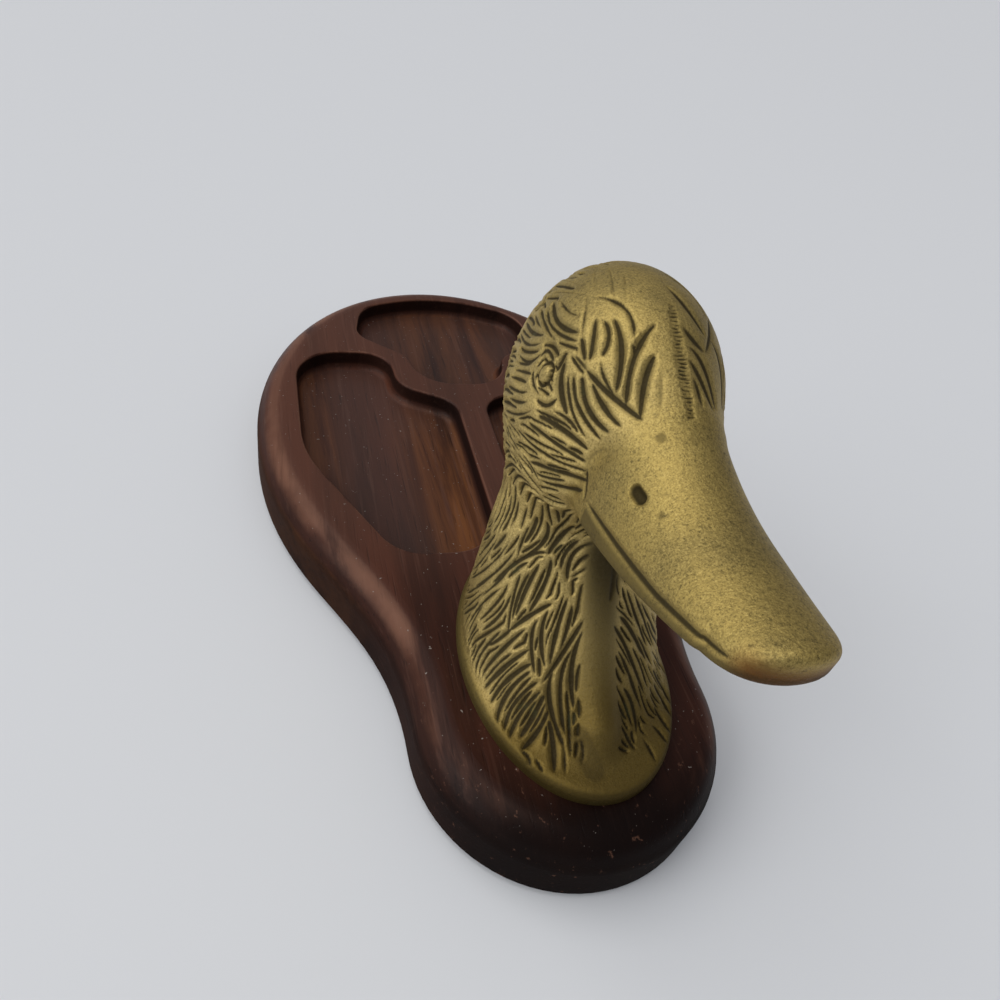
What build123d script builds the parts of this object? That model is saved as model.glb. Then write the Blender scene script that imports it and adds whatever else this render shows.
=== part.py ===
# Brass duck head on a wooden valet tray: a pear-shaped hardwood tray with three routed wells, and a hollow
# cast duck's head brazed up from two halves and screwed down on the tray's narrow end. Millimetres, +Z up.
# The origin is on the table under the middle of the tray; the bill points along -Y, the duck's left is +X.
import os
from math import cos, radians, sin, sqrt

from build123d import *

# Tray
trayLength = 250.0
trayWidth = 150.0
trayThickness = 20.5
noseRadius = 40.5          # plan radius of the narrow end
bellyLength = 92.0         # from the widest line to the back end
flankWidth = 122.5         # width half way along the flanks
flankPlace = -25.0         # where that width is taken
shoulderRadius = 9.0
edgeBreak = 1.0            # chamfer along the bottom edge

# Wells
wellDepth = 7.0
wellCove = 3.0             # fillet between wall and floor
sideRim = 14.0             # wood between the side wells and the widest line
webWidth = 11.0            # wood between the two side wells
wellLip = 1.0              # rounding of the wells' upper edges
sideWellSetback = 92.0     # from the tray's narrow end to the side wells
sideWellToe = 37.0         # outer front corner of a side well
sideWellSlant = 46.0       # length of its slanting outer wall
sideWellReach = 46.5       # from the back well's far wall to the side wells' back walls
sideWellNeck = 67.5        # from there to the bend round the back well
sideWellDrop = 10.0        # fall of the wall that leads from the bend to the web
backRim = 7.5              # wood behind the back well
backWellWidth = 74.0
backWellLength = 65.5
backWellShoulder = 33.5    # from its far wall to where it is widest
lobeWidth = 35.0           # front lobe of the back well
lobeLength = 18.0

# Felt
feltThickness = 1.5
feltInset = 5.0

# Duck's head and neck
footLength = 80.0
footWidth = 54.5
footSetback = 12.0         # from the tray's narrow end to the lip
lipHeight = 4.0
lipStep = 1.3              # the neck stands back this far from the lip
throatHeight = 45.0        # above the tray
throatSetback = 41.5       # from the front of the lip to the throat
throatDepth = 30.5
throatWidth = 41.0
throatFillet = 6.0         # rounding where the head meets the neck
headWidth = 44.6           # across the cheeks
headDepth = 56.6           # from jaw to crown
headSetback = 60.2         # from the front of the lip to the middle of the head
headHeight = 70.7          # middle of the head above the tray
ridgeRadius = 5.5          # filed seam down the chest
ridgeProud = 0.9
wallThickness = 3.2

# Bill
billLength = 49.1
billSetback = 28.7         # from the middle of the head to where the bill leaves the feathers
billWidth = 28.5
billTipWidth = 18.9
tipRound = 9.5             # length of the rounded end
culmenHeight = 80.9        # lowest line of the bill's back, above the tray
foreheadRise = 7.0
tipRise = 1.2
mouthHeight = 61.8         # edge of the bill at its root, above the tray
mouthRise = 14.6           # from the root to the tip
mandibleDepth = 5.0
mandibleTip = 2.0
grooveRise = 1.8           # mouth groove above the bill's edge
grooveCorner = 2.1         # added at the corner of the mouth
grooveWidth = 1.3
grooveDepth = 1.5
grooveEnd = 0.88           # share of the bill that the mouth groove runs along
nostrilRadius = 1.8
nostrilShare = 0.2         # place along the bill
eyeRadius = 2.6
eyeRing = 0.8              # half width of the groove round the eye
eyeFront = 7.7             # ahead of the middle of the head
eyeRise = 9.9              # above the middle of the head

# Feather grooves: on the skull by turn and rise, in degrees round from the bill and up from the cheeks
featherWidth = 2.4
featherDepth = 0.9
featherRunOut = 0.3        # how far a groove's ends clear the brass
browGroove = (63, 41, 24, 27)
foreheadGrooves = 3
foreheadFirst = (16, 72, 19, 52)
foreheadLast = (52, 66, 35, 46)
cheekGrooves = 4
cheekFirst = (37, 21, 52, 29)
cheekLast = (38, -11, 78, -26)
scallopRows = 5
scallopColumns = 3
scallopFirst = (105.5, 57)
scallopStep = (27, 21.5)
scallopWidth = 24.0
scallopSag = 6.0
tuftRows = 3
tuftColumns = 6
tuftFirst = 24.0           # turn of the tufts nearest the chest ridge
tuftLast = 149.0
tuftLean = 14.0            # turn that every other tuft leans through
tuftMargin = 4.0           # plain brass above and below the tufts

# Screws and washers
screwDiameter = 5.0
screwGrip = 12.0           # length held in the brass
threadClearance = 0.1
holeClearance = 0.4
screwHead = 9.0
screwHeadHeight = 3.2
slotWidth = 1.2
slotDepth = 1.4
washerDiameter = 11.0
washerThickness = 1.2
pocketClearance = 1.0
pocketDepth = 9.0
bossRadius = 6.0
bossCap = 4.0              # solid brass over the tapped hole
bossOut = 12.5             # from the seam to a screw's axis
bossSetback = 43.0         # from the front of the lip to the screws

noseEnd = -trayLength / 2
wellEnd = trayLength / 2 - backRim
footFront = noseEnd + footSetback
throatFront = footFront + throatSetback
throatBack = throatFront + throatDepth
headPlace = footFront + headSetback
billBase = headPlace - billSetback
bossPlace = footFront + bossSetback
trayTop = feltThickness + trayThickness
lipTop = trayTop + lipHeight
throatTop = trayTop + throatHeight
headMiddle = trayTop + headHeight
footMiddle = footFront + footLength / 2


def trayOutline(inset=0):
    nose = noseEnd + noseRadius
    belly = trayLength / 2 - bellyLength
    small = noseRadius - inset
    waist = flankWidth / 2 - inset
    wide = trayWidth / 2 - inset
    half = Wire([
        CenterArc((0, nose), small, -90, 90),
        Spline((small, nose), (waist, flankPlace), (wide, belly), tangents=[(0, 1), (0, 1)]),
        EllipticalCenterArc((0, belly), wide, bellyLength - inset, start_angle=0, arc_size=90),
    ])
    return make_face(half.edges() + mirror(half, Plane.YZ).edges())


def roundedFace(corners):
    points = [(x, y) for x, y, radius in corners]
    return make_face(FilletPolyline(*points, radius=[r for x, y, r in corners], close=True).edges())


def sideWell():
    inner = webWidth / 2
    outer = trayWidth / 2 - sideRim
    lobe = lobeWidth / 2 + webWidth
    wide = outer - lobe
    front = noseEnd + sideWellSetback
    back = wellEnd - sideWellReach
    neck = wellEnd - sideWellNeck
    return roundedFace([
        (inner, front, 15), (sideWellToe, front, 14), (outer, front + sideWellSlant, 45),
        (outer, back, 0.52 * wide), (lobe - 2, back, 0.34 * wide), (lobe - 3, neck, 12),
        (inner, neck - sideWellDrop, 10),
    ])


def backWell():
    wide = backWellWidth / 2
    lobe = lobeWidth / 2
    front = wellEnd - backWellLength
    right = [(lobe - 1, front, 0.85 * lobe), (lobe + 1.5, front + lobeLength, 10),
             (wide, wellEnd - backWellShoulder, 9), (wide - 4, wellEnd - 12.5, 0.43 * wide)]
    left = [(-x, y, r) for x, y, r in reversed(right)]
    return roundedFace(right + [(0, wellEnd, 1.5 * wide)] + left)


def wellCutter(face):
    cutter = extrude(Pos(0, 0, trayTop - wellDepth) * face, wellDepth + 1)
    return fillet(cutter.faces().sort_by(Axis.Z)[0].edges(), wellCove)


def screwPlaces():
    return [Pos(side * bossOut, bossPlace, 0) for side in (-1, 1)]


def makeTray():
    block = extrude(Pos(0, 0, feltThickness) * trayOutline(), trayThickness)
    block = fillet(block.faces().sort_by(Axis.Z)[-1].edges(), shoulderRadius)
    block = chamfer(block.faces().sort_by(Axis.Z)[0].edges(), edgeBreak)
    side = wellCutter(sideWell())
    block -= [side, mirror(side, Plane.YZ), wellCutter(backWell())]
    top = block.faces().sort_by(Axis.Z)[-1]
    block = fillet([edge for wire in top.inner_wires() for edge in wire.edges()], wellLip)
    hole = Cylinder(screwDiameter / 2 + holeClearance, 3 * trayThickness)
    pocket = Pos(0, 0, feltThickness) * Cylinder(washerDiameter / 2 + pocketClearance, 2 * pocketDepth)
    return block - [place * tool for place in screwPlaces() for tool in (hole, pocket)]


def makeFelt():
    return extrude(trayOutline(feltInset), feltThickness)


def oval(front, back, width, height):
    return Pos(0, (front + back) / 2, height) * Ellipse(width / 2, (back - front) / 2)


def chestLine(share):
    # Front of the neck at a share of the way from lip to throat: it sweeps back fast, then rises.
    front = footFront + lipStep + (throatFront - footFront - lipStep) * sqrt(share)
    return front, lipTop + (throatTop - lipTop) * share


def neckSize(share):
    front, height = chestLine(share)
    footBack = footFront + footLength - lipStep
    back = footBack + (throatBack - footBack) * sqrt(share)
    width = footWidth - 2 * lipStep + (throatWidth - footWidth + 2 * lipStep) * share
    return front, back, width, height


def neckSections(inset):
    sections = []
    for share in (0, 0.1, 0.25, 0.5, 0.75, 1):
        front, back, width, height = neckSize(share)
        sections.append(oval(front + inset, back - inset, width - 2 * inset, height))
    sections.append(oval(throatFront + inset, throatBack + 8 - inset, throatWidth - 2 * inset, headMiddle))
    return sections


def headBall(inset):
    # The left half of the head: a quarter oval turned about the line through both cheeks.
    wide, tall = headWidth / 2 - inset, headDepth / 2 - inset
    points = [(wide * cos(radians(turn)), tall * sin(radians(turn))) for turn in (0, 20, 40, 60, 76, 90)]
    curve = Spline(*points, tangents=[(0, 1), (-1, 0)])
    quarter = make_face([curve, Line(points[-1], (0, 0)), Line((0, 0), points[0])])
    return Pos(0, headPlace, headMiddle) * revolve(quarter, Axis.X)


def billSizes(share):
    # Place, half width and the three heights of the bill at a share of its length from the feathers.
    place = billBase - share * billLength
    half = (billTipWidth + (billWidth - billTipWidth) * (1 - share**2.2)) / 2
    dip = max(0, 1 - 2 * share)
    lift = max(0, (share - 0.6) / 0.4)
    culmen = trayTop + culmenHeight + foreheadRise * dip**2 + tipRise * lift**2
    mouth = trayTop + mouthHeight + mouthRise * (0.65 * share + 0.35 * share**2)
    floor = mouth - mandibleDepth + (mandibleDepth - mandibleTip) * share
    return place, half, culmen, mouth, floor


def billSection(place, half, culmen, mouth, floor):
    rise = culmen - mouth
    upper = Spline((-half, mouth), (-0.8 * half, mouth + 0.62 * rise), (0, culmen),
                   (0.8 * half, mouth + 0.62 * rise), (half, mouth))
    lower = Spline((half, mouth), (0.7 * half, floor + 0.2 * (mouth - floor)), (0, floor),
                   (-0.7 * half, floor + 0.2 * (mouth - floor)), (-half, mouth))
    face = make_face([upper, lower])
    return Plane(origin=(0, place, 0), x_dir=(1, 0, 0), z_dir=(0, -1, 0)) * face


def billLoft(inset):
    root = billSizes(0)
    sections = [billSection(headPlace - 9, root[1] - 2 - inset, root[2] + 4.5, root[3] - 2, root[4] - 2)]
    for share in (0, 0.15, 0.35, 0.55, 0.75, 0.9, 1.03):
        place, half, culmen, mouth, floor = billSizes(share)
        sections.append(billSection(place, half - inset, culmen, mouth, floor))
    return loft(sections)


def billPlan(inset):
    tip = billBase - billLength
    place, half, *heights = billSizes(1 - 0.8 * tipRound / billLength)
    shank = Pos(0, headPlace - tipRound) * Rectangle(2 * half + 20, 2 * (headPlace - tipRound - tip - tipRound))
    plan = Pos(0, tip + tipRound) * Ellipse(half + 0.3 - inset, tipRound - inset) + shank
    return extrude(Pos(0, 0, trayTop) * plan, headHeight + headDepth)


def makeBill():
    return billLoft(0) & billPlan(0)


def mouthGroove():
    # A band along the mouth line, cut only as deep as the groove.
    upper = []
    for share in (0.02, 0.16, 0.32, 0.65, 1):
        place, half, culmen, mouth, floor = billSizes(share * grooveEnd)
        lift = grooveRise + grooveCorner * max(0, 1 - 1.6 * share) + grooveWidth / 2
        upper.append((place, mouth + lift))
    lower = [(y, z - grooveWidth) for y, z in reversed(upper)]
    band = make_face([Spline(*upper), Line(upper[-1], lower[0]), Spline(*lower), Line(lower[-1], upper[0])])
    slab = extrude(Plane.YZ * band, billWidth, both=True)
    return slab - (billLoft(grooveDepth) & billPlan(grooveDepth))


def nostril():
    place, half, culmen, mouth, floor = billSizes(nostrilShare)
    return Pos(0.8 * half, place, mouth + 0.62 * (culmen - mouth)) * Sphere(nostrilRadius)


def eyePlane():
    wide, tall = headWidth / 2, headDepth / 2
    reach = wide * sqrt(max(0.1, 1 - (eyeFront**2 + eyeRise**2) / tall**2))
    outward = Vector(reach / wide**2, -eyeFront / tall**2, eyeRise / tall**2)
    return Plane(origin=(reach, headPlace - eyeFront, headMiddle + eyeRise), z_dir=outward)


def chestRidge():
    # The ridge starts inside the lip and rises out of it.
    inside = ridgeRadius - ridgeProud
    path = [(0, y + inside, z) for y, z in (chestLine(share) for share in (0.06, 0.25, 0.5, 0.75, 1))]
    spine = Spline((0, footFront + 2 * ridgeRadius, trayTop), *path)
    start = Plane(origin=spine @ 0, z_dir=spine % 0)
    bar = sweep(start * Circle(ridgeRadius), path=spine)
    return bar & Pos(0, footMiddle, trayTop) * Cylinder(
        footLength, throatHeight, align=(Align.CENTER, Align.CENTER, Align.MIN))


def bowed(turn0, rise0, turn1, rise1, bow=(0, 0)):
    # Start, middle and end of a groove.
    return (turn0, rise0), ((turn0 + turn1) / 2 + bow[0], (rise0 + rise1) / 2 - bow[1]), (turn1, rise1)


def fan(count, first, last):
    shares = [k / (count - 1) for k in range(count)]
    return [bowed(*[a + (b - a) * share for a, b in zip(first, last)], bow=(0, 3)) for share in shares]


def scallops():
    lines = []
    for row in range(scallopRows):
        for column in range(scallopColumns):
            turn = scallopFirst[0] + scallopStep[0] * (column + 0.3 * (row % 2))
            rise = scallopFirst[1] - scallopStep[1] * row
            lines.append(bowed(turn - scallopWidth / 2, rise, turn + scallopWidth / 2, rise, (0, scallopSag)))
    return lines


def skullRay(turn, rise):
    turn, rise = radians(turn), radians(rise)
    way = (sin(turn) * cos(rise), -cos(turn) * cos(rise), sin(rise))
    return Axis((0, headPlace, headMiddle), way)


def tufts():
    # Staggered rows that fill the neck, by turn round the neck's oval and share of its height.
    lines = []
    margin = tuftMargin / (throatTop - lipTop)
    fall = (1 - 2 * margin) / tuftRows
    step = (tuftLast - tuftFirst) / (tuftColumns - 1)
    for row in range(tuftRows):
        top = 1 - margin - fall * row
        for column in range(tuftColumns):
            turn = tuftFirst + step * (column + 0.5 * (row % 2))
            lean = tuftLean * (column % 2)
            lines.append(bowed(turn, top, turn + lean, top - fall, (-0.2 * tuftLean, 0)))
    return lines


def neckRay(turn, share):
    front, back, width, height = neckSize(share)
    way = (width / 2 * sin(radians(turn)), (front - back) / 2 * cos(radians(turn)), 0)
    return Axis((0, (front + back) / 2, height), way)


def featherGroove(body, line, ray):
    # A bent round bar laid along the brass, whose ends stand clear so that the groove runs out to nothing.
    radius = (featherWidth**2 / 4 + featherDepth**2) / (2 * featherDepth)
    clear = radius + featherRunOut
    path = []
    for mark, lift in zip(line, (clear, radius - featherDepth, clear)):
        axis = ray(*mark)
        hits = body.find_intersection_points(axis)
        spot, outward = max(hits, key=lambda hit: (hit[0] - axis.position).dot(axis.direction))
        path.append(spot + outward * lift)
    spine = ThreePointArc(*path)
    return sweep(Plane(origin=spine @ 0, z_dir=spine % 0) * Circle(radius), path=spine)


def feathers(body):
    onSkull = [bowed(*browGroove), *fan(foreheadGrooves, foreheadFirst, foreheadLast),
               *fan(cheekGrooves, cheekFirst, cheekLast), *scallops()]
    return [featherGroove(body, line, skullRay) for line in onSkull] + \
        [featherGroove(body, line, neckRay) for line in tufts()]


def leftOf(shape):
    reach = 2 * trayLength
    return shape & Box(reach, reach, reach, align=(Align.MIN, Align.CENTER, Align.CENTER))


def makeHeadHalf():
    lip = extrude(oval(footFront, footFront + footLength, footWidth, trayTop), lipHeight)
    lip = fillet(lip.faces().sort_by(Axis.Z)[-1].edges(), lipHeight / 2)
    half = leftOf(loft(neckSections(0))) + headBall(0)
    crease = [edge for edge in half.edges() if edge.center().X > 1 and throatTop < edge.center().Z < headMiddle]
    half = fillet(crease, throatFillet) + leftOf(lip + chestRidge() + makeBill())
    edge = wallThickness + lipStep
    mouth = oval(footFront + edge, footFront + footLength - edge, footWidth - 2 * edge, trayTop - 1)
    cavity = loft(neckSections(wallThickness)) + extrude(mouth, lipHeight + 1)
    cavity = leftOf(cavity) + headBall(wallThickness)
    boss = Cylinder(bossRadius, screwGrip + bossCap, align=(Align.CENTER, Align.CENTER, Align.MIN))
    boss += Box(footWidth, bossRadius, screwGrip + bossCap, align=(Align.MIN, Align.CENTER, Align.MIN))
    cavity -= Pos(bossOut, bossPlace, trayTop) * boss
    tapped = Pos(bossOut, bossPlace, trayTop) * Cylinder(screwDiameter / 2 + threadClearance, 2 * (screwGrip + 1))
    eyeGroove = eyePlane() * Torus(eyeRadius + eyeRing, eyeRing)
    hollow = half - [cavity, leftOf(mouthGroove()), nostril(), eyeGroove, tapped]
    return hollow - feathers(half)


def makeScrews():
    seat = feltThickness + pocketDepth - washerThickness
    shank = trayTop + screwGrip - seat
    head = Pos(0, 0, seat - screwHeadHeight) * Cylinder(
        screwHead / 2, screwHeadHeight, align=(Align.CENTER, Align.CENTER, Align.MIN))
    head = fillet(head.faces().sort_by(Axis.Z)[0].edges(), screwHeadHeight / 3)
    head -= Pos(0, 0, seat - screwHeadHeight) * Box(2 * screwHead, slotWidth, 2 * slotDepth)
    stem = Pos(0, 0, seat) * Cylinder(screwDiameter / 2, shank, align=(Align.CENTER, Align.CENTER, Align.MIN))
    stem = chamfer(stem.faces().sort_by(Axis.Z)[-1].edges(), screwDiameter / 8)
    return Compound([place * (head + stem) for place in screwPlaces()])


def makeWashers():
    seat = feltThickness + pocketDepth - washerThickness
    ring = Circle(washerDiameter / 2) - Circle(screwDiameter / 2 + holeClearance / 2)
    return Compound([place * extrude(Pos(0, 0, seat) * ring, washerThickness) for place in screwPlaces()])


leftHalf = makeHeadHalf()
nodes = {
    "tray_base": makeTray(),
    "base_felt": makeFelt(),
    "head_half_left": leftHalf,
    "head_half_right": mirror(leftHalf, Plane.YZ),
    "mounting_screws": makeScrews(),
    "screw_washers": makeWashers(),
}
os.makedirs("parts", exist_ok=True)
for name, shape in nodes.items():
    export_step(shape, f"parts/{name}.step")
    print(name, len(shape.solids()), round(shape.volume / 1000, 1), "cm3")
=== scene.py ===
import math
from itertools import product

import bmesh
import bpy
import numpy as np
from mathutils import Matrix, Vector, kdtree
from mathutils.bvhtree import BVHTree


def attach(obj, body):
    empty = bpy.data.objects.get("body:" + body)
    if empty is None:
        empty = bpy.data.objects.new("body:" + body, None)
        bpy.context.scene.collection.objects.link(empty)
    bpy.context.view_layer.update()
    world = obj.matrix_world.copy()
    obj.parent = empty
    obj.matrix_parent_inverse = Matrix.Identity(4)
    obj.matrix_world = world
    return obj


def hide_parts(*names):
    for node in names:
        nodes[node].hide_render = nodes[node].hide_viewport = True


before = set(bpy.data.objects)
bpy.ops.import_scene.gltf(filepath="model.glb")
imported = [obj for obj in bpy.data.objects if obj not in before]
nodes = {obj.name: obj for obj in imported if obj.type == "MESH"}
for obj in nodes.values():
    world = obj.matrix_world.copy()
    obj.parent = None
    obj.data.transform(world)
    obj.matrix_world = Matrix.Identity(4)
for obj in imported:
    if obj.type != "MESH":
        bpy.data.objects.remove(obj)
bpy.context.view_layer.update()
milli = 0.001          # the carving below is worked out in millimetres
tiny = 1e-6
rng = np.random.default_rng(7)
print("frame loaded:", sorted(nodes))


# Camera: a hand-held close view from above the duck's right side

shot = {"place": (-73.878, -176.436, 181.567), "dip": 41.646, "turn": 23.760, "roll": 14.555,
        "focal": 751.0, "side": 1000.0, "sensor": 36.0, "clip": (0.005, 20)}


def cameraAxes():
    dip, turn, roll = (math.radians(shot[key]) for key in ("dip", "turn", "roll"))
    ahead = Vector((math.sin(turn) * math.cos(dip), math.cos(turn) * math.cos(dip), -math.sin(dip)))
    level = Vector((math.cos(turn), -math.sin(turn), 0))
    up = level.cross(ahead)
    right = math.cos(roll) * level + math.sin(roll) * up
    return right, math.cos(roll) * up - math.sin(roll) * level, ahead


def makeCamera():
    right, up, ahead = cameraAxes()
    lens = bpy.data.cameras.new("shotLens")
    lens.sensor_width = shot["sensor"]
    lens.lens = shot["sensor"] * shot["focal"] / shot["side"]
    lens.clip_start, lens.clip_end = shot["clip"]
    camera = bpy.data.objects.new("shotCamera", lens)
    turned = Matrix((right, up, -ahead)).transposed().to_4x4()
    camera.matrix_world = Matrix.Translation(Vector(shot["place"]) * milli) @ turned
    bpy.context.scene.collection.objects.link(camera)
    bpy.context.scene.camera = camera


makeCamera()
print("camera placed")


# Shader maths

class Wire:
    def __init__(self, tree, socket=None):
        self.tree, self.socket = tree, socket

    def node(self, kind, settings, sockets, out=0):
        made = self.tree.nodes.new(kind)
        for name, value in settings.items():
            setattr(made, name, value)
        for name, value in sockets.items():
            if isinstance(value, Wire):
                self.tree.links.new(value.socket, made.inputs[name])
            else:
                made.inputs[name].default_value = value
        return Wire(self.tree, made.outputs[out] if made.outputs else None)

    def math(self, operation, first, second):
        return self.node("ShaderNodeMath", {"operation": operation}, {0: first, 1: second})

    def __add__(self, other):
        return self.math("ADD", self, other)

    def __sub__(self, other):
        return self.math("SUBTRACT", self, other)

    def __rsub__(self, other):
        return self.math("SUBTRACT", other, self)

    def __mul__(self, other):
        return self.math("MULTIPLY", self, other)

    __radd__, __rmul__ = __add__, __mul__

    def span(self, low, high, first=0.0, last=1.0):       # eased step between two values
        return self.node("ShaderNodeMapRange", {"interpolation_type": "SMOOTHSTEP"}, {
            "Value": self, "From Min": low, "From Max": high, "To Min": first, "To Max": last})

    def blend(self, first, second):                       # this value mixes two colours
        return self.node("ShaderNodeMix", {"data_type": "RGBA"}, {0: self, 6: first, 7: second}, 2)


def startMaterial(name):
    material = bpy.data.materials.new(name)
    material.use_nodes = True
    material.node_tree.nodes.clear()
    return material, Wire(material.node_tree)


def closeMaterial(wire, sockets):
    shader = wire.node("ShaderNodeBsdfPrincipled", {}, sockets)
    wire.node("ShaderNodeOutputMaterial", {}, {"Surface": shader})


def surfacePlace(wire, stretch=(1.0, 1.0, 1.0)):
    place = wire.node("ShaderNodeTexCoord", {}, {}, "Object")
    return wire.node("ShaderNodeMapping", {}, {"Vector": place, "Scale": stretch})


def placeAlong(wire, axis):                               # X, Y or Z of the surface, in metres
    place = wire.node("ShaderNodeTexCoord", {}, {}, "Object")
    return wire.node("ShaderNodeSeparateXYZ", {}, {0: place}, axis)


def grain(wire, place, scale, detail=3.0, rough=0.55, twist=0.0):
    return wire.node("ShaderNodeTexNoise", {}, {
        "Vector": place, "Scale": scale, "Detail": detail, "Roughness": rough, "Distortion": twist}, 0)


def bumped(wire, look, height):
    return wire.node("ShaderNodeBump", {}, {
        "Strength": look["bump"], "Distance": look["bumpDepth"], "Height": height})


# Aged brass: olive gold on the rubbed places, brown-grey in the carving.
# A grain is noise by scale, detail and roughness.
# A place is where a finish starts and where it is full, in metres.

brass = {"gold": (0.43, 0.315, 0.098, 1), "olive": (0.27, 0.205, 0.074, 1), "rubbed": (0.66, 0.51, 0.19, 1),
         "speck": (0.105, 0.080, 0.032, 1), "patina": (0.021, 0.0150, 0.0065, 1),
         "dust": (0.055, 0.043, 0.023, 1), "green": (0.050, 0.065, 0.030, 1),
         "aged": (0.60, 0.455, 0.185, 1), "brown": (0.115, 0.072, 0.012, 1),
         "copper": (0.17, 0.062, 0.014, 1),
         "cloudGrain": (60.0, 5.0), "fineGrain": (2600.0, 4.0, 0.75), "freckleGrain": (1150.0, 6.0, 0.82),
         "greenGrain": (120.0, 3.0), "pitGrain": (900.0, 5.0, 0.7),
         "crown": (0.120, 0.094), "chestFront": (-0.076, -0.098), "chestTop": (0.070, 0.044),
         "footEdge": (0.0290, 0.0262), "billEnd": (-0.1235, -0.1285), "billUnder": (0.1030, 0.0985),
         "chestShare": 0.8, "footShare": 0.45, "tipShare": 0.85, "stainShare": 0.92,
         "bump": 0.45, "bumpDepth": 0.0005, "specular": 0.2}


def brassMaterial():
    material, wire = startMaterial("agedBrass")
    place = surfacePlace(wire)
    # the carving's patina stain, which also carries painted shade under the bill's end, down the chest ridge
    # and along the foot's lip
    stainAndShade, bare = (wire.node("ShaderNodeAttribute", {"attribute_name": name}, {}, "Fac")
                    for name in ("stainAndShade", "bare"))
    y, z = (placeAlong(wire, axis) for axis in "YZ")
    cloud = grain(wire, place, *brass["cloudGrain"])
    fine = grain(wire, place, *brass["fineGrain"])
    freckle = grain(wire, place, *brass["freckleGrain"])
    tone = cloud.span(0.40, 0.75, 0.0, 0.7).blend(brass["gold"], brass["olive"])
    tone = (fine.span(0.48, 0.72) * 0.55).blend(tone, brass["rubbed"])
    tone = (fine.span(0.52, 0.30) * 0.7).blend(tone, brass["speck"])
    tone = (freckle.span(0.50, 0.68) * cloud.span(0.3, 0.6, 0.5, 0.9)).blend(tone, brass["speck"])
    aged = (1 - bare) * fine.span(0.36, 0.60, 0.15, 0.75) * z.span(*brass["crown"], 0.25, 1.0)
    tone = aged.blend(tone, brass["aged"])                # paler feathers, less so on the crown
    chest = y.span(*brass["chestFront"]) * z.span(*brass["chestTop"]) * brass["chestShare"]
    low = wire.math("MAXIMUM", chest, z.span(*brass["footEdge"]) * brass["footShare"])
    tone = low.blend(tone, brass["brown"])                # painted shade, in brown, on the lower chest front and along the foot's edge
    tip = y.span(*brass["billEnd"]) * z.span(*brass["billUnder"]) * brass["tipShare"]
    tone = tip.blend(tone, brass["copper"])               # the underside of the bill's end: partly painted shade, partly a redder tone
    haze = (1 - bare) * cloud.span(0.40, 0.78, 0.0, 0.16)
    tone = haze.blend(tone, brass["speck"])
    stain = (stainAndShade + (fine - 0.5) * 0.5).span(0.06, 0.80)
    verdigris = grain(wire, place, *brass["greenGrain"]).span(0.62, 0.75) * 0.5
    dark = verdigris.blend(brass["patina"], brass["green"])
    dark = (freckle.span(0.42, 0.70) * 0.75).blend(dark, brass["dust"])
    tone = (stain * brass["stainShare"]).blend(tone, dark)
    pits = grain(wire, place, *brass["pitGrain"])
    closeMaterial(wire, {"Base Color": tone, "Metallic": 1 - stain * 0.25,
                         "Roughness": (0.46 + fine * 0.14) + stain * 0.2,
                         "Normal": bumped(wire, brass, pits), "Specular IOR Level": brass["specular"]})
    return material


# Stained hardwood: grain along the tray, worn edges, painted shade in the coves, on the sides and at the
# front, a painted sheen on the top, and dust with painted sheen on the well floors.
# A figure is its stretch along x, y and z and then its noise.

wood = {"dark": (0.020, 0.0075, 0.0050, 1), "red": (0.086, 0.027, 0.015, 1),
        "honey": (0.19, 0.070, 0.022, 1), "worn": (0.20, 0.095, 0.060, 1), "dust": (0.30, 0.26, 0.23, 1),
        "grimeAndShade": (0.0045, 0.0022, 0.0018, 1), "web": (0.135, 0.062, 0.042, 1),
        "dustAndSheen": (0.078, 0.060, 0.055, 1),
        "streaks": ((1.0, 0.07, 0.5), 120.0, 5.0, 0.65, 0.6),
        "bands": ((1.0, 0.16, 0.6), 26.0, 3.0, 0.5, 0.8),
        "pores": ((1.0, 0.05, 1.0), 1100.0, 2.0, 0.6), "clouds": ((1.0, 1.0, 1.0), 28.0, 4.0),
        "threads": ((1.0, 0.035, 0.8), 620.0, 3.0, 0.6), "scuffs": ((1.0, 0.6, 1.0), 520.0, 4.0, 0.7),
        "specks": ((1.0, 1.0, 1.0), 900.0, 2.0, 0.6),
        "wellFloor": (0.0168, 0.0152), "wellInner": (0.034, 0.012), "wellOuter": (0.044, 0.056),
        "wellFront": (0.050, 0.020), "coveTop": (0.0212, 0.0190), "nose": (-0.090, -0.118),
        "topFace": (0.0200, 0.0215), "behindNeck": (-0.06, -0.01), "shoulderLow": (0.0165, 0.0185),
        "flanks": (0.030, 0.036), "rimLow": (0.0196, 0.0210), "scuffReach": (-0.06, -0.115),
        "bump": 0.22, "bumpDepth": 0.0003, "coatRough": 0.2, "specular": 0.07}


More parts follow.
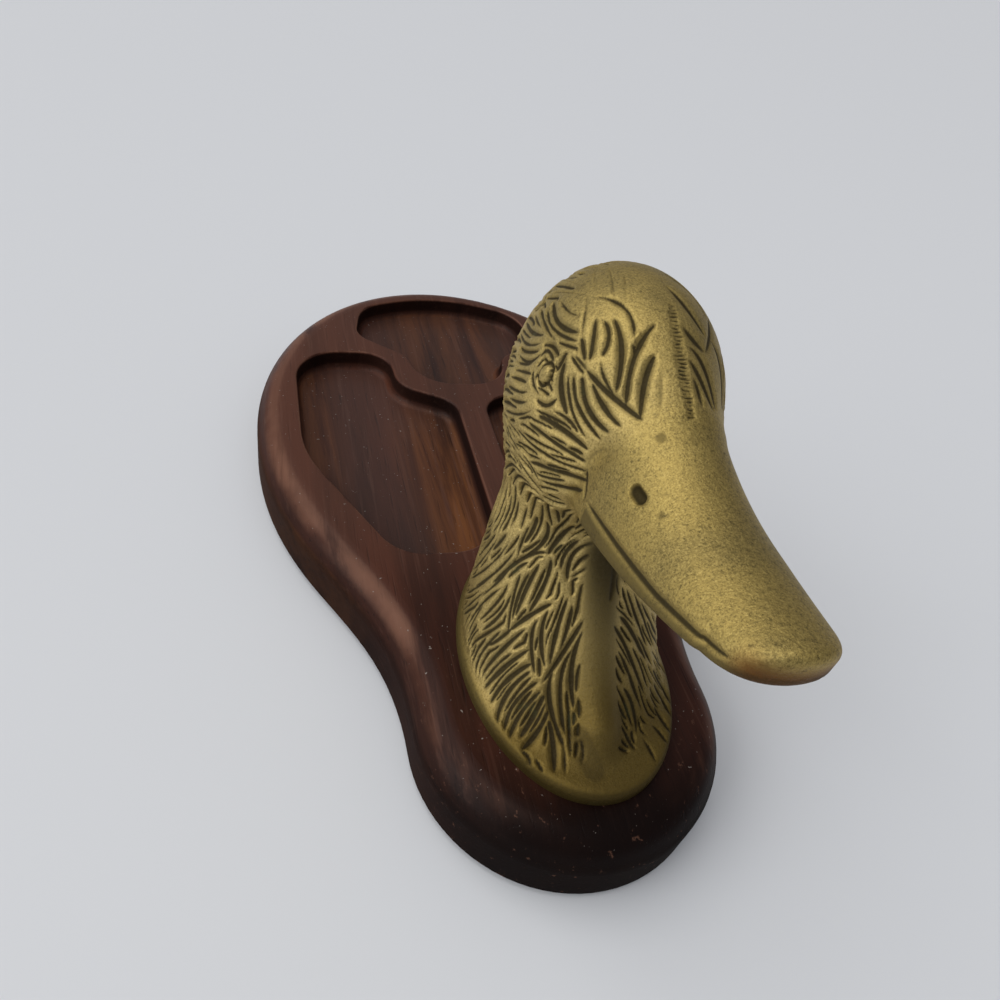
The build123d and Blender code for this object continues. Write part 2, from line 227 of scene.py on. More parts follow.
def woodMaterial():
    material, wire = startMaterial("stainedWood")

    def figure(name):
        stretch, *noise = wood[name]
        return grain(wire, surfacePlace(wire, stretch), *noise)

    x, y, z = (placeAlong(wire, axis) for axis in "XYZ")
    out = wire.math("ABSOLUTE", x, 0.0)
    normal = wire.node("ShaderNodeNewGeometry", {}, {}, "Normal")
    facing = wire.node("ShaderNodeSeparateXYZ", {}, {0: normal}, "Z")
    streaks, bands, pores, cloud = (figure(name) for name in ("streaks", "bands", "pores", "clouds"))
    tone = (streaks * 0.45 + bands * 0.55).span(0.28, 0.74).blend(wood["dark"], wood["red"])
    inWell = z.span(*wood["wellFloor"])
    warm = out.span(*wood["wellInner"]) * y.span(*wood["wellFront"], 0.35, 1.0)
    warm = warm + out.span(*wood["wellOuter"]) * 0.55
    tone = (inWell * warm * streaks.span(0.28, 0.72) * 0.9).blend(tone, wood["honey"])
    tone = (figure("threads").span(0.54, 0.70) * 0.28).blend(tone, wood["web"])
    tone = (pores.span(0.60, 0.74) * 0.5).blend(tone, wood["grimeAndShade"])
    # grey dust and painted sheen on the well floors
    tone = (inWell * facing.span(0.9, 0.99) * (1 - warm) * 0.3).blend(tone, wood["dustAndSheen"])
    # painted shade in the coves and on the steep sides
    coveShade = z.span(*wood["coveTop"]) * facing.span(0.97, 0.55)
    sides = facing.span(0.70, 0.18)
    front = y.span(*wood["nose"])
    # painted sheen: the top face lighter behind the neck
    topSheen = z.span(*wood["topFace"]) * facing.span(0.9, 0.99) * y.span(*wood["behindNeck"])
    tone = (topSheen * 0.35).blend(tone, wood["web"])
    tone = wire.math("MAXIMUM", coveShade * 0.4, sides * 0.72).blend(tone, wood["grimeAndShade"])
    # painted shadow of the head over the tray's front
    tone = (front * 0.94).blend(tone, wood["grimeAndShade"])
    shoulder = facing.span(0.55, 0.78) * facing.span(0.985, 0.90) * z.span(*wood["shoulderLow"])
    worn = shoulder * out.span(*wood["flanks"]) * cloud.span(0.38, 0.62) * streaks.span(0.3, 0.6)
    tone = (worn * 0.6).blend(tone, wood["worn"])
    rim = facing.span(0.5, 0.8) * facing.span(0.995, 0.95) * z.span(*wood["rimLow"])
    tone = (rim * streaks.span(0.35, 0.6) * 0.35 * (1 - front)).blend(tone, wood["worn"])
    scuffs = figure("scuffs").span(0.62, 0.72) * y.span(*wood["scuffReach"])
    tone = (scuffs * 0.45).blend(tone, wood["worn"])
    specks = figure("specks").span(0.715, 0.745)
    tone = (specks * facing.span(0.6, 0.9) * 0.7).blend(tone, wood["dust"])
    height = pores.span(0.55, 0.75, 0.0, -1.0) + streaks * 0.6
    closeMaterial(wire, {"Base Color": tone, "Normal": bumped(wire, wood, height),
                         "Roughness": 0.34 + cloud * 0.14 + worn * 0.15 + sides * 0.4,
                         "Coat Weight": (0.02 + cloud * 0.10) * facing.span(0.3, 0.9) * (1 - front * 0.8),
                         "Coat Roughness": wood["coatRough"], "Specular IOR Level": wood["specular"]})
    return material


felt = {"light": (0.060, 0.105, 0.060, 1), "shade": (0.022, 0.045, 0.024, 1),
        "fuzzGrain": (1300.0, 5.0, 0.7), "bump": 0.5, "bumpDepth": 0.0004, "rough": 0.95}


def feltMaterial():
    material, wire = startMaterial("pressedFelt")
    fuzz = grain(wire, surfacePlace(wire), *felt["fuzzGrain"])
    tone = fuzz.span(0.3, 0.7).blend(felt["shade"], felt["light"])
    closeMaterial(wire, {"Base Color": tone, "Roughness": felt["rough"], "Normal": bumped(wire, felt, fuzz)})
    return material


steel = {"bright": (0.58, 0.58, 0.60, 1), "dull": (0.40, 0.40, 0.41, 1), "turning": (1.0, 1.0, 6.0),
         "turnGrain": (800.0, 3.0)}


def steelMaterial():
    material, wire = startMaterial("screwSteel")
    turned = grain(wire, surfacePlace(wire, steel["turning"]), *steel["turnGrain"])
    tone = turned.span(0.35, 0.65).blend(steel["dull"], steel["bright"])
    closeMaterial(wire, {"Base Color": tone, "Metallic": 1.0, "Roughness": 0.28 + turned * 0.15})
    return material


# The duck's forms as one smooth field, in millimetres; it is below zero inside the brass

duck = {"trayTop": 22.0, "lipTop": 26.0, "lipRound": 2.0, "footFront": -113.0, "footBack": -33.0,
        "footHalf": 27.25, "lipStep": 1.3, "throatTop": 67.0, "throatFront": -71.5, "throatBack": -41.0,
        "throatHalf": 20.5, "napeSpread": 8.0, "headPlace": -52.8, "headMiddle": 92.7, "headHalf": 22.3,
        "headRadius": 28.3, "ridgeRadius": 5.5, "ridgeInside": 4.6, "ridgeStart": -102.0, "ridgeFoot": 0.06,
        "ridgeSteps": 14, "sweepStart": 0.004, "chestLean": 0.49, "throatBlend": 7.0, "lipBlend": 1.2,
        "ridgeBlend": 2.2, "billBlend": 1.4, "browBlend": 6.6, "browLow": 95, "browRise": 9}
bill = {"base": -81.5, "length": 49.1, "width": 28.5, "tipWidth": 18.9, "tipRound": 9.5, "culmen": 102.9,
        "foreheadRise": 7.0, "tipRise": 1.2, "tipFrom": 0.6, "mouth": 83.8, "mouthRise": 14.6,
        "mouthCurve": 0.35, "depth": 5.0, "tipDepth": 2.0, "flare": 2.2, "root": 15.0, "rootLift": 4.5,
        "rootDrop": 2.0, "upperPower": 2.07, "lowerPower": 2.45, "planShare": 0.8, "planSpare": 0.3,
        "tipBlend": 2.2, "inside": 9}


def joined(first, second, reach):                         # smooth union of two forms
    share = np.clip(0.5 + 0.5 * (second - first) / reach, 0, 1)
    return second + (first - second) * share - reach * share * (1 - share)


def ovalGap(across, along, half, deep):                   # distance from an oval, near its edge
    across = np.abs(across) + 1e-4
    ratio = np.hypot(across / half, along / deep)
    return ratio * (ratio - 1) / np.maximum(np.hypot(across / half**2, along / deep**2), tiny)


def chestLine(share):
    start = duck["footFront"] + duck["lipStep"]
    return start + (duck["throatFront"] - start) * np.sqrt(share), \
        duck["lipTop"] + (duck["throatTop"] - duck["lipTop"]) * share


def neckField(x, y, z):
    share = np.clip((z - duck["lipTop"]) / (duck["throatTop"] - duck["lipTop"]), 0, 1)
    sweep = np.sqrt(share + duck["sweepStart"])
    front = duck["footFront"] + duck["lipStep"]
    front = front + (duck["throatFront"] - front) * sweep
    above = np.clip((z - duck["throatTop"]) / (duck["headMiddle"] - duck["throatTop"]), 0, 1)
    back = duck["footBack"] - duck["lipStep"]
    back = back + (duck["throatBack"] - back) * sweep + duck["napeSpread"] * above
    half = duck["footHalf"] - duck["lipStep"]
    half = half + (duck["throatHalf"] - half) * share
    middle, deep = (front + back) / 2, (back - front) / 2
    lean = duck["chestLean"] / sweep * np.clip((middle - y) / deep, 0, 1) ** 2 * (share < 1)
    flat = ovalGap(x, y - middle, half, deep) / np.sqrt(1 + lean**2)
    return np.maximum(flat, z - duck["headMiddle"])


def billSizes(share):                                     # half width, back, edge and underside
    share = np.clip(share, 0, 1.05)
    half = (bill["tipWidth"] + (bill["width"] - bill["tipWidth"]) * (1 - share ** bill["flare"])) / 2
    culmen = bill["culmen"] + bill["foreheadRise"] * np.maximum(0, 1 - 2 * share) ** 2 \
        + bill["tipRise"] * np.maximum(0, (share - bill["tipFrom"]) / (1 - bill["tipFrom"])) ** 2
    curve = bill["mouthCurve"]
    mouth = bill["mouth"] + bill["mouthRise"] * ((1 - curve) * share + curve * share**2)
    return half, culmen, mouth, mouth - bill["depth"] + (bill["depth"] - bill["tipDepth"]) * share


def billField(x, y, z):
    share = (bill["base"] - y) / bill["length"]
    half, culmen, mouth, floor = billSizes(share)
    back = np.clip(-share * bill["length"] / bill["root"], 0, 1)
    half, culmen = half - bill["rootDrop"] * back, culmen + bill["rootLift"] * back
    mouth, floor = mouth - bill["rootDrop"] * back, floor - bill["rootDrop"] * back
    above = z > mouth
    tall = np.where(above, culmen - mouth, mouth - floor)
    power = np.where(above, bill["upperPower"], bill["lowerPower"])
    across, up = np.abs(x) / half + tiny, np.abs(z - mouth) / tall + tiny
    ratio = (across**power + up**power) ** (1 / power)
    steep = np.hypot(across ** (power - 1) / half, up ** (power - 1) / tall) / ratio ** (power - 1)
    body = (ratio - 1) / steep
    tip = bill["base"] - bill["length"] + bill["tipRound"]
    wide = billSizes(1 - bill["planShare"] * bill["tipRound"] / bill["length"])[0] + bill["planSpare"]
    plan = ovalGap(x, np.minimum(y - tip, 0), wide, bill["tipRound"])
    plan = np.where(y > tip, np.minimum(plan, tip - y), plan)
    return np.maximum(-joined(-body, -plan, bill["tipBlend"]), y - duck["headPlace"] + bill["inside"])


def ridgeField(x, y, z):                                  # rounded seam down the chest
    shares = np.linspace(duck["ridgeFoot"], 1, duck["ridgeSteps"])
    line = [(duck["ridgeStart"], duck["trayTop"])]
    line += [(front + duck["ridgeInside"], height) for front, height in (chestLine(s) for s in shares)]
    nearest = np.full(np.broadcast(x, y, z).shape, 1e9)
    for (y0, z0), (y1, z1) in zip(line[:-1], line[1:]):
        along, up = y1 - y0, z1 - z0
        share = np.clip(((y - y0) * along + (z - z0) * up) / (along**2 + up**2), 0, 1)
        nearest = np.minimum(nearest, (y - y0 - along * share) ** 2 + (z - z0 - up * share) ** 2)
    return np.sqrt(nearest + x**2) - duck["ridgeRadius"]


def lipField(x, y, z):
    middle, deep = (duck["footFront"] + duck["footBack"]) / 2, (duck["footBack"] - duck["footFront"]) / 2
    out = ovalGap(x, y - middle, duck["footHalf"], deep) + duck["lipRound"]
    up = z - duck["lipTop"] + duck["lipRound"]
    corner = np.hypot(np.maximum(out, 0), np.maximum(up, 0))
    return np.minimum(np.maximum(out, up), 0) + corner - duck["lipRound"]


def headField(x, y, z):
    z = duck["trayTop"] + np.abs(z - duck["trayTop"])
    radius = duck["headRadius"]
    ball = [x / duck["headHalf"], (y - duck["headPlace"]) / radius, (z - duck["headMiddle"]) / radius]
    ratio = np.sqrt(ball[0] ** 2 + ball[1] ** 2 + ball[2] ** 2)
    steep = np.sqrt((ball[0] / duck["headHalf"]) ** 2 + (ball[1] ** 2 + ball[2] ** 2) / radius**2)
    skull = ratio * (ratio - 1) / np.maximum(steep, tiny)
    body = joined(skull, neckField(x, y, z), duck["throatBlend"])
    ease = np.clip((z - duck["browLow"]) / duck["browRise"], 0, 1)    # the brow runs softly into the bill
    reach = duck["billBlend"] + duck["browBlend"] * ease * ease * (3 - 2 * ease)
    body = joined(body, billField(x, y, z), reach)
    return joined(joined(body, lipField(x, y, z), duck["lipBlend"]), ridgeField(x, y, z), duck["ridgeBlend"])


def slopeAt(points, step=0.04):
    x, y, z = points.T
    middle = headField(x, y, z)
    slope = np.stack([headField(x + step, y, z), headField(x, y + step, z), headField(x, y, z + step)], 1)
    return middle, (slope - middle[:, None]) / step


def onSeam(points):
    return np.abs(points[:, 0]) < tiny


def onTray(points):
    return np.abs(points[:, 2] - duck["trayTop"]) < tiny


def settle(points, rounds=4):                             # draws points on to the brass
    seam, under = onSeam(points), onTray(points)
    for _ in range(rounds):
        value, slope = slopeAt(points)
        slope[seam, 0], slope[under, 2] = 0, 0
        points = points - slope * (value / np.maximum((slope**2).sum(1), tiny))[:, None]
    return points


net = {"front": -132.0, "limits": (30.0, -24.0, 124.0), "pitch": 0.665, "quickPitch": 1.1}


def netSurface(pitch):                                    # half shell as quads, one point per crossed cell
    low = np.array([-0.5 * pitch, net["front"], duck["trayTop"] - 0.5 * pitch])
    counts = np.ceil((np.array(net["limits"]) - low) / pitch).astype(int) + 1
    axes = [low[i] + pitch * np.arange(counts[i]) for i in range(3)]
    values = np.empty(counts, np.float32)
    for k, height in enumerate(axes[2]):
        values[:, :, k] = headField(axes[0][:, None], axes[1][None, :], np.full((1, 1), height))
    cells = counts - 1
    total, hits = np.zeros((*cells, 3), np.float32), np.zeros(cells, np.float32)
    for axis in range(3):
        others = [i for i in range(3) if i != axis]
        for first in (0, 1):
            for second in (0, 1):
                start = [0, 0, 0]
                start[others[0]], start[others[1]] = first, second
                end = list(start)
                end[axis] = 1
                a = values[tuple(slice(s, s + c) for s, c in zip(start, cells))]
                b = values[tuple(slice(s, s + c) for s, c in zip(end, cells))]
                cross = (a < 0) != (b < 0)
                hits += cross
                share = np.where(cross, a / np.where(cross, a - b, 1), 0)
                total[..., axis] += share
                total[..., others[0]] += first * cross
                total[..., others[1]] += second * cross
    used = np.argwhere(hits > 0)
    names = np.full(cells, -1)
    names[tuple(used.T)] = np.arange(len(used))
    points = low + pitch * (used + total[tuple(used.T)] / hits[tuple(used.T)][:, None])
    points[used[:, 0] == 0, 0] = 0
    points[used[:, 2] == 0, 2] = duck["trayTop"]
    inside, quads = values < 0, []
    for axis in range(3):
        u, v = (axis + 1) % 3, (axis + 2) % 3
        near = [slice(1, -1)] * 3
        far = [slice(1, -1)] * 3
        near[axis], far[axis] = slice(0, -1), slice(1, None)
        a, b = inside[tuple(near)], inside[tuple(far)]
        spots = np.argwhere(a != b)
        leaving = a[tuple(spots.T)]
        spots[:, u] += 1
        spots[:, v] += 1
        sideU, sideV = np.eye(3, dtype=int)[u], np.eye(3, dtype=int)[v]
        shifts = (sideU + sideV, sideV, 0 * sideU, sideU)
        quad = np.stack([names[tuple((spots - shift).T)] for shift in shifts], 1)
        quads.append(np.where(leaving[:, None], quad, quad[:, ::-1]))
    return settle(points.astype(float)), np.concatenate(quads)


shellPoints, shellQuads = netSurface(net["pitch"])
print("half shell:", len(shellPoints), "points", len(shellQuads), "quads")


# Carving: strokes drawn on two enlarged sheets of the view and cast on to the brass.
# A stroke is x, y of its start, middle and end on the sheet, its width there and its depth in millimetres.

carve = {"head": {"corner": (490, 250), "zoom": 6.272}, "neck": {"corner": (450, 490), "zoom": 4.9},
         "pixel": 0.21, "fewest": 6, "perPixel": 2, "step": 0.3, "jump": 3, "thin": 0.02, "taper": 0.4,
         "knot": 2.5, "uneven": 0.2, "even": 0.06, "clear": 1.6, "near": 0.85, "broad": 0.9,
         "broadMarks": (0, -1, 1), "holeNear": 3, "holeFine": 2.4, "shoulder": 2.3, "darkEdge": 1.15,
         "darkFade": 0.75, "halo": 0.42, "fullStain": 0.4, "dabSteps": 5, "dabFirm": 1.6, "flat": 0.02}
foreheadStrokes = [
    (662, 425, 642, 560, 622, 690, 34, 0.6), (715, 440, 742, 540, 700, 665, 34, 0.6),
    (775, 425, 822, 620, 785, 895, 42, 0.75), (1042, 460, 905, 670, 848, 985, 36, 0.7),
    (893, 590, 908, 650, 890, 720, 22, 0.45), (1036, 660, 968, 830, 938, 1060, 46, 0.75),
    (1076, 755, 1072, 900, 1062, 1050, 34, 0.16), (660, 290, 850, 365, 905, 550, 26, 0.4),
    (600, 745, 735, 895, 955, 1065, 48, 0.65), (530, 660, 565, 702, 612, 760, 30, 0.3),
    (572, 550, 578, 620, 592, 690, 32, 0.55),
    (690, 690, 712, 800, 775, 905, 22, 0.4), (745, 110, 768, 210, 776, 310, 15, 0.22),
    (665, 120, 655, 200, 672, 285, 13, 0.16), (845, 155, 852, 240, 856, 325, 10, 0.18),
    (905, 460, 930, 490, 962, 532, 9, 0.2),
]
crownStrokes = [
    (395, 325, 425, 455, 558, 515, 40, 0.6), (440, 318, 498, 388, 562, 405, 22, 0.35),
    (360, 365, 398, 495, 556, 572, 28, 0.45), (318, 362, 342, 470, 405, 565, 26, 0.45),
    (280, 398, 296, 455, 325, 490, 22, 0.35), (225, 452, 262, 515, 338, 530, 34, 0.5),
    (188, 520, 232, 590, 328, 575, 24, 0.4), (345, 292, 430, 262, 602, 282, 11, 0.25),
    (345, 252, 335, 320, 252, 382, 13, 0.28), (607, 280, 592, 400, 568, 545, 13, 0.28),
    (440, 185, 510, 198, 562, 218, 13, 0.2), (500, 130, 570, 120, 640, 125, 10, 0.15),
]
eyeStrokes = [
    (312, 668, 356, 630, 392, 700, 34, 0.55), (275, 745, 262, 830, 305, 905, 26, 0.5),
    (285, 930, 345, 975, 415, 930, 28, 0.5), (465, 700, 432, 870, 478, 1030, 50, 0.75),
    (175, 645, 235, 700, 322, 640, 24, 0.45), (165, 700, 225, 715, 275, 700, 20, 0.4),
    (155, 748, 205, 762, 258, 778, 24, 0.45), (128, 790, 178, 808, 228, 832, 24, 0.45),
    (108, 848, 165, 885, 232, 886, 26, 0.45), (118, 925, 172, 955, 235, 950, 26, 0.45),
    (90, 1000, 170, 1032, 265, 1000, 22, 0.4),
]
cheekStrokes = [
    (505, 660, 545, 725, 585, 775, 26, 0.5), (640, 835, 708, 990, 818, 1108, 40, 0.7),
    (575, 795, 612, 1015, 748, 1148, 44, 0.75), (525, 775, 548, 990, 695, 1198, 32, 0.6),
    (490, 765, 502, 985, 605, 1190, 26, 0.5), (392, 1012, 478, 1062, 552, 1152, 28, 0.5),
    (300, 1042, 455, 1140, 612, 1258, 46, 0.75), (236, 1082, 400, 1215, 606, 1336, 36, 0.65),
    (162, 1112, 340, 1285, 612, 1392, 24, 0.5), (248, 1332, 425, 1398, 605, 1446, 42, 0.7),
    (318, 1448, 430, 1490, 580, 1508, 34, 0.6), (190, 1270, 250, 1355, 305, 1455, 20, 0.4),
    (95, 1080, 130, 1185, 188, 1268, 22, 0.4), (165, 1290, 225, 1400, 335, 1530, 22, 0.4),
    (740, 1248, 640, 1290, 604, 1400, 30, 0.16), (604, 1380, 598, 1460, 588, 1565, 34, 0.55),
]
farStrokes = [
    (1110, 230, 1232, 355, 1356, 548, 40, 0.4), (1095, 150, 1262, 280, 1362, 440, 34, 0.35),
    (1212, 478, 1290, 575, 1350, 640, 46, 0.36), (1366, 400, 1382, 540, 1350, 650, 40, 0.36),
    (1245, 600, 1350, 740, 1418, 1005, 46, 0.42), (1245, 680, 1322, 800, 1405, 1010, 44, 0.42),
    (1275, 790, 1310, 880, 1335, 990, 34, 0.35), (1385, 560, 1450, 740, 1455, 1005, 50, 0.4),
]
neckStrokes = [
    (300, 0, 285, 90, 232, 205, 16, 0.4), (332, 35, 322, 110, 288, 195, 16, 0.4),
    (378, 80, 360, 140, 342, 195, 18, 0.4), (425, 132, 405, 195, 362, 262, 28, 0.55),
    (472, 155, 465, 245, 368, 328, 32, 0.6), (390, 175, 352, 250, 328, 335, 20, 0.45),
    (610, 180, 540, 235, 480, 318, 34, 0.65), (485, 312, 360, 335, 205, 458, 28, 0.6),
    (640, 245, 568, 310, 545, 392, 28, 0.5), (705, 262, 605, 318, 575, 455, 28, 0.5),
    (590, 432, 635, 405, 672, 380, 20, 0.4), (495, 335, 468, 450, 385, 602, 32, 0.6),
    (440, 362, 372, 485, 318, 622, 30, 0.6), (388, 405, 332, 520, 302, 645, 26, 0.5),
    (345, 412, 302, 550, 282, 705, 22, 0.5), (282, 458, 235, 540, 138, 642, 24, 0.5),
    (298, 498, 250, 600, 150, 692, 24, 0.5), (502, 558, 388, 620, 290, 690, 34, 0.65),
    (300, 680, 240, 730, 182, 765, 24, 0.5), (482, 588, 446, 720, 466, 872, 30, 0.6),
    (436, 632, 398, 730, 415, 905, 28, 0.55), (578, 528, 522, 700, 488, 865, 32, 0.6),
    (600, 560, 580, 665, 538, 790, 28, 0.5), (652, 640, 560, 795, 452, 948, 30, 0.6),
    (602, 778, 542, 955, 566, 1205, 30, 0.6), (652, 690, 598, 862, 606, 1072, 36, 0.6),
    (506, 888, 488, 1040, 562, 1262, 32, 0.6), (124, 892, 150, 800, 248, 690, 24, 0.5),
    (154, 918, 215, 822, 372, 680, 28, 0.55), (164, 976, 250, 882, 392, 780, 36, 0.65),
    (198, 1044, 270, 940, 402, 850, 34, 0.65), (234, 1142, 268, 1012, 392, 890, 34, 0.6),
    (268, 1182, 310, 1052, 432, 940, 30, 0.55), (294, 1218, 340, 1102, 448, 985, 30, 0.55),
    (344, 1210, 405, 1112, 462, 1005, 38, 0.65), (348, 1275, 430, 1182, 482, 1080, 32, 0.55),
    (484, 1130, 506, 1250, 512, 1382, 40, 0.65), (555, 1225, 562, 1300, 566, 1395, 18, 0.35),
    (240, 220, 178, 310, 108, 392, 18, 0.4), (302, 228, 212, 350, 80, 442, 18, 0.4),
    (322, 288, 232, 392, 118, 472, 20, 0.4), (330, 322, 250, 430, 148, 522, 20, 0.4),
    (200, 428, 122, 480, 50, 522, 18, 0.4), (190, 480, 112, 542, 48, 602, 18, 0.4),
    (268, 470, 150, 562, 72, 692, 20, 0.4), (162, 560, 112, 640, 80, 725, 20, 0.4),
    (352, 1280, 384, 1308, 388, 1352, 22, 0.5), (420, 1318, 440, 1350, 452, 1384, 20, 0.5),
]
neckFarStrokes = [
    (795, 358, 804, 440, 785, 545, 26, 0.5), (832, 388, 822, 460, 836, 525, 20, 0.4),
    (865, 478, 905, 590, 966, 765, 24, 0.5), (890, 478, 942, 600, 1002, 775, 22, 0.45),
    (830, 618, 892, 690, 962, 835, 34, 0.6), (800, 658, 875, 790, 956, 1005, 30, 0.55),
    (825, 788, 880, 900, 942, 1085, 28, 0.5), (850, 968, 900, 1060, 915, 1195, 28, 0.5),
    (935, 543, 1022, 720, 1140, 988, 20, 0.45), (980, 638, 1060, 810, 1146, 992, 18, 0.4),
    (990, 788, 1050, 890, 1126, 1045, 22, 0.45), (995, 878, 1060, 1000, 1140, 1172, 28, 0.5),
    (1000, 948, 1055, 1050, 1130, 1192, 26, 0.5), (1000, 1058, 1050, 1140, 1100, 1212, 22, 0.45),
    (985, 1148, 1030, 1190, 1066, 1242, 22, 0.4), (945, 1218, 980, 1270, 1010, 1332, 18, 0.35),
    (640, 1225, 652, 1290, 645, 1340, 22, 0.4),
]
hatch = {"first": (1140, 345), "last": (1265, 1050), "count": 30, "reach": 44, "tilt": 8, "width": 15,
         "depth": 0.34}


def hatchStrokes():                                       # short ticks beside the crown's plain strip
    strokes = []
    for k in range(hatch["count"]):
        share = k / (hatch["count"] - 1)
        x = hatch["first"][0] + (hatch["last"][0] - hatch["first"][0]) * share
        y = hatch["first"][1] + (hatch["last"][1] - hatch["first"][1]) * share
        reach = hatch["reach"] * (0.6 + 0.4 * math.sin(math.pi * share)) * rng.uniform(0.8, 1.15)
        tilt = hatch["tilt"] * rng.uniform(-0.4, 1.2)
        strokes.append((x - reach, y - tilt, x, y, x + reach, y + tilt, hatch["width"], hatch["depth"]))
    return strokes


def castPixel(pixel):                                     # where a pixel of the view lands on the brass
    right, up, ahead = cameraAxes()
    middle, focal = shot["side"] / 2, shot["focal"]
    ray = ahead + right * ((pixel[0] - middle) / focal) - up * ((pixel[1] - middle) / focal)
    return skin.ray_cast(Vector(shot["place"]), ray.normalized())[0]


def castStroke(stroke, sheet, uneven):
    ends = [np.array(stroke[i:i + 2]) for i in (0, 2, 4)]
    pull = 2 * ends[1] - (ends[0] + ends[2]) / 2          # the curve passes through its middle
    run = np.linalg.norm(ends[1] - ends[0]) + np.linalg.norm(ends[2] - ends[1])
    line = []
    for t in np.linspace(0, 1, max(carve["fewest"], int(run / sheet["zoom"] * carve["perPixel"]))):
        spot = (1 - t) ** 2 * ends[0] + 2 * t * (1 - t) * pull + t * t * ends[2]
        hit = castPixel(np.array(sheet["corner"]) + spot / sheet["zoom"])
        if hit is not None:
            line.append(np.array(hit))
    return makeStroke(line, stroke[6] / sheet["zoom"] * carve["pixel"] / 2, stroke[7], uneven)


def makeStroke(line, half, depth, uneven=carve["uneven"]):     # evenly spaced points with tapered ends
    if len(line) < 3:
        return None
    line = np.array(line)
    jumps = np.flatnonzero(np.linalg.norm(np.diff(line, axis=0), axis=1) > carve["jump"]) + 1
    line = max(np.split(line, jumps), key=len)            # the longest run on one form
    if len(line) < 3:
        return None
    gaps = np.linalg.norm(np.diff(line, axis=0), axis=1)
    run = np.concatenate([[0], np.cumsum(gaps)])
    marks = np.linspace(0, run[-1], max(4, int(run[-1] / carve["step"])))
    line = np.stack([np.interp(marks, run, line[:, i]) for i in range(3)], 1)
    ends = 4 * np.linspace(0, 1, len(marks)) * np.linspace(1, 0, len(marks))
    taper = np.clip(ends, carve["thin"], 1) ** carve["taper"]
    count = int(run[-1] / carve["knot"]) + 3
    knots = rng.uniform(1 - uneven, 1 + uneven, count)    # a chisel's uneven pressure
    taper = taper * np.interp(marks / carve["knot"], np.arange(len(knots)), knots)
    return {"line": line, "half": half * taper, "depth": depth * taper}


def mirrored(stroke):
    return {**stroke, "line": stroke["line"] * np.array([-1, 1, 1])}


def treeOf(spots):                                        # for finding what lies near a place
    tree = kdtree.KDTree(len(spots))
    for number, spot in enumerate(spots):
        tree.insert(spot, number)
    tree.balance()
    return tree


skinPoints = np.concatenate([shellPoints, shellPoints * np.array([-1, 1, 1])])
skinQuads = np.concatenate([shellQuads, shellQuads[:, ::-1] + len(shellPoints)])
skin = BVHTree.FromPolygons([tuple(p) for p in skinPoints], [tuple(map(int, q)) for q in skinQuads])


def castRows(sheet, rows, uneven=carve["uneven"]):
    return [stroke for stroke in (castStroke(row, carve[sheet], uneven) for row in rows) if stroke]


farSide = castRows("head", farStrokes, carve["even"]) + castRows("neck", neckFarStrokes)
farSpots = np.concatenate([stroke["line"] for stroke in farSide])
nearSide = castRows("head", eyeStrokes) + castRows("head", cheekStrokes) + castRows("neck", neckStrokes)
opposite = [stroke for stroke in map(mirrored, nearSide)  # not across the strokes drawn on the far side
            if np.linalg.norm(farSpots[:, None] - stroke["line"][None], axis=2).min() > carve["clear"]]
seen = farSide + nearSide + opposite
for rows in (foreheadStrokes, crownStrokes, hatchStrokes()):
    seen += castRows("head", rows)
print("strokes drawn:", len(seen))


# Strokes between the drawn ones and round the hidden sides, along the feathers' lie

fill = {"seeds": 20000, "gap": 1.15, "stop": 0.85, "step": 0.5, "reach": 8.0, "shortest": 3.5, "half": 0.4,
        "depth": 0.7, "follow": 6.0, "cell": 2.5, "skullLow": 74, "outward": 0.25, "fall": 0.55,
        "steepen": 0.02, "steepFrom": 104, "tuftTurns": 3.2, "tuftRise": 0.30, "lean": 0.35, "plait": 0.55}
plain = {"lip": 1.0, "billBack": 3, "billLow": 70, "bill": 2.0, "ridge": 0.4, "stripLow": 102,
         "stripHalf": 5.5, "stripSpread": 0.3, "stripFrom": -68, "stripBack": -44,
         "caps": ((111, -48), (99, -70))}
drawnTree = treeOf(np.concatenate([stroke["line"] for stroke in seen]))
drawnWays = np.concatenate([np.gradient(stroke["line"], axis=0) for stroke in seen])


def feathersLie(point, normal):
    x, y, z = point
    side = 1 if x > 0 else -1
    if z > fill["skullLow"]:                              # over the skull the feathers run back and down
        fall = fill["fall"] + fill["steepen"] * (fill["steepFrom"] - z)
        lie = Vector((fill["outward"] * side, 1.0, -fall))
    else:                                                 # on the neck they hang in plaited tufts
        turn = math.atan2(abs(x), -(y - duck["headPlace"]))
        tuft = math.sin(fill["tuftTurns"] * turn + fill["tuftRise"] * z)
        around = Vector((side * math.cos(turn), math.sin(turn), 0))
        lie = Vector((0, 0, -1.0)) + around * (fill["lean"] + fill["plait"] * tuft)
    lie = (lie - normal * lie.dot(normal)).normalized()
    _, number, gap = drawnTree.find(point)
    if gap < fill["follow"]:                              # near a drawn stroke they keep its direction
        way = Vector(drawnWays[number]).normalized()
        way = way if way.dot(lie) > 0 else -way
        lie = way.lerp(lie, gap / fill["follow"])
        lie = (lie - normal * lie.dot(normal)).normalized()
    return lie


def plainPlace(point):                                    # left smooth: bill, lip, chest ridge and crown
    x, y, z = point
    if z < duck["lipTop"] + plain["lip"] or (y < bill["base"] + plain["billBack"] and z > plain["billLow"]):
        return True
    if ridgeField(x, y, z) < plain["ridge"] or any(z > low and y < back for low, back in plain["caps"]):
        return True
    strip = plain["stripHalf"] + plain["stripSpread"] * max(0, y - plain["stripFrom"])
    if z > plain["stripLow"] and abs(x) < strip and y < plain["stripBack"]:
        return True
    return billField(x, y, z) < plain["bill"]


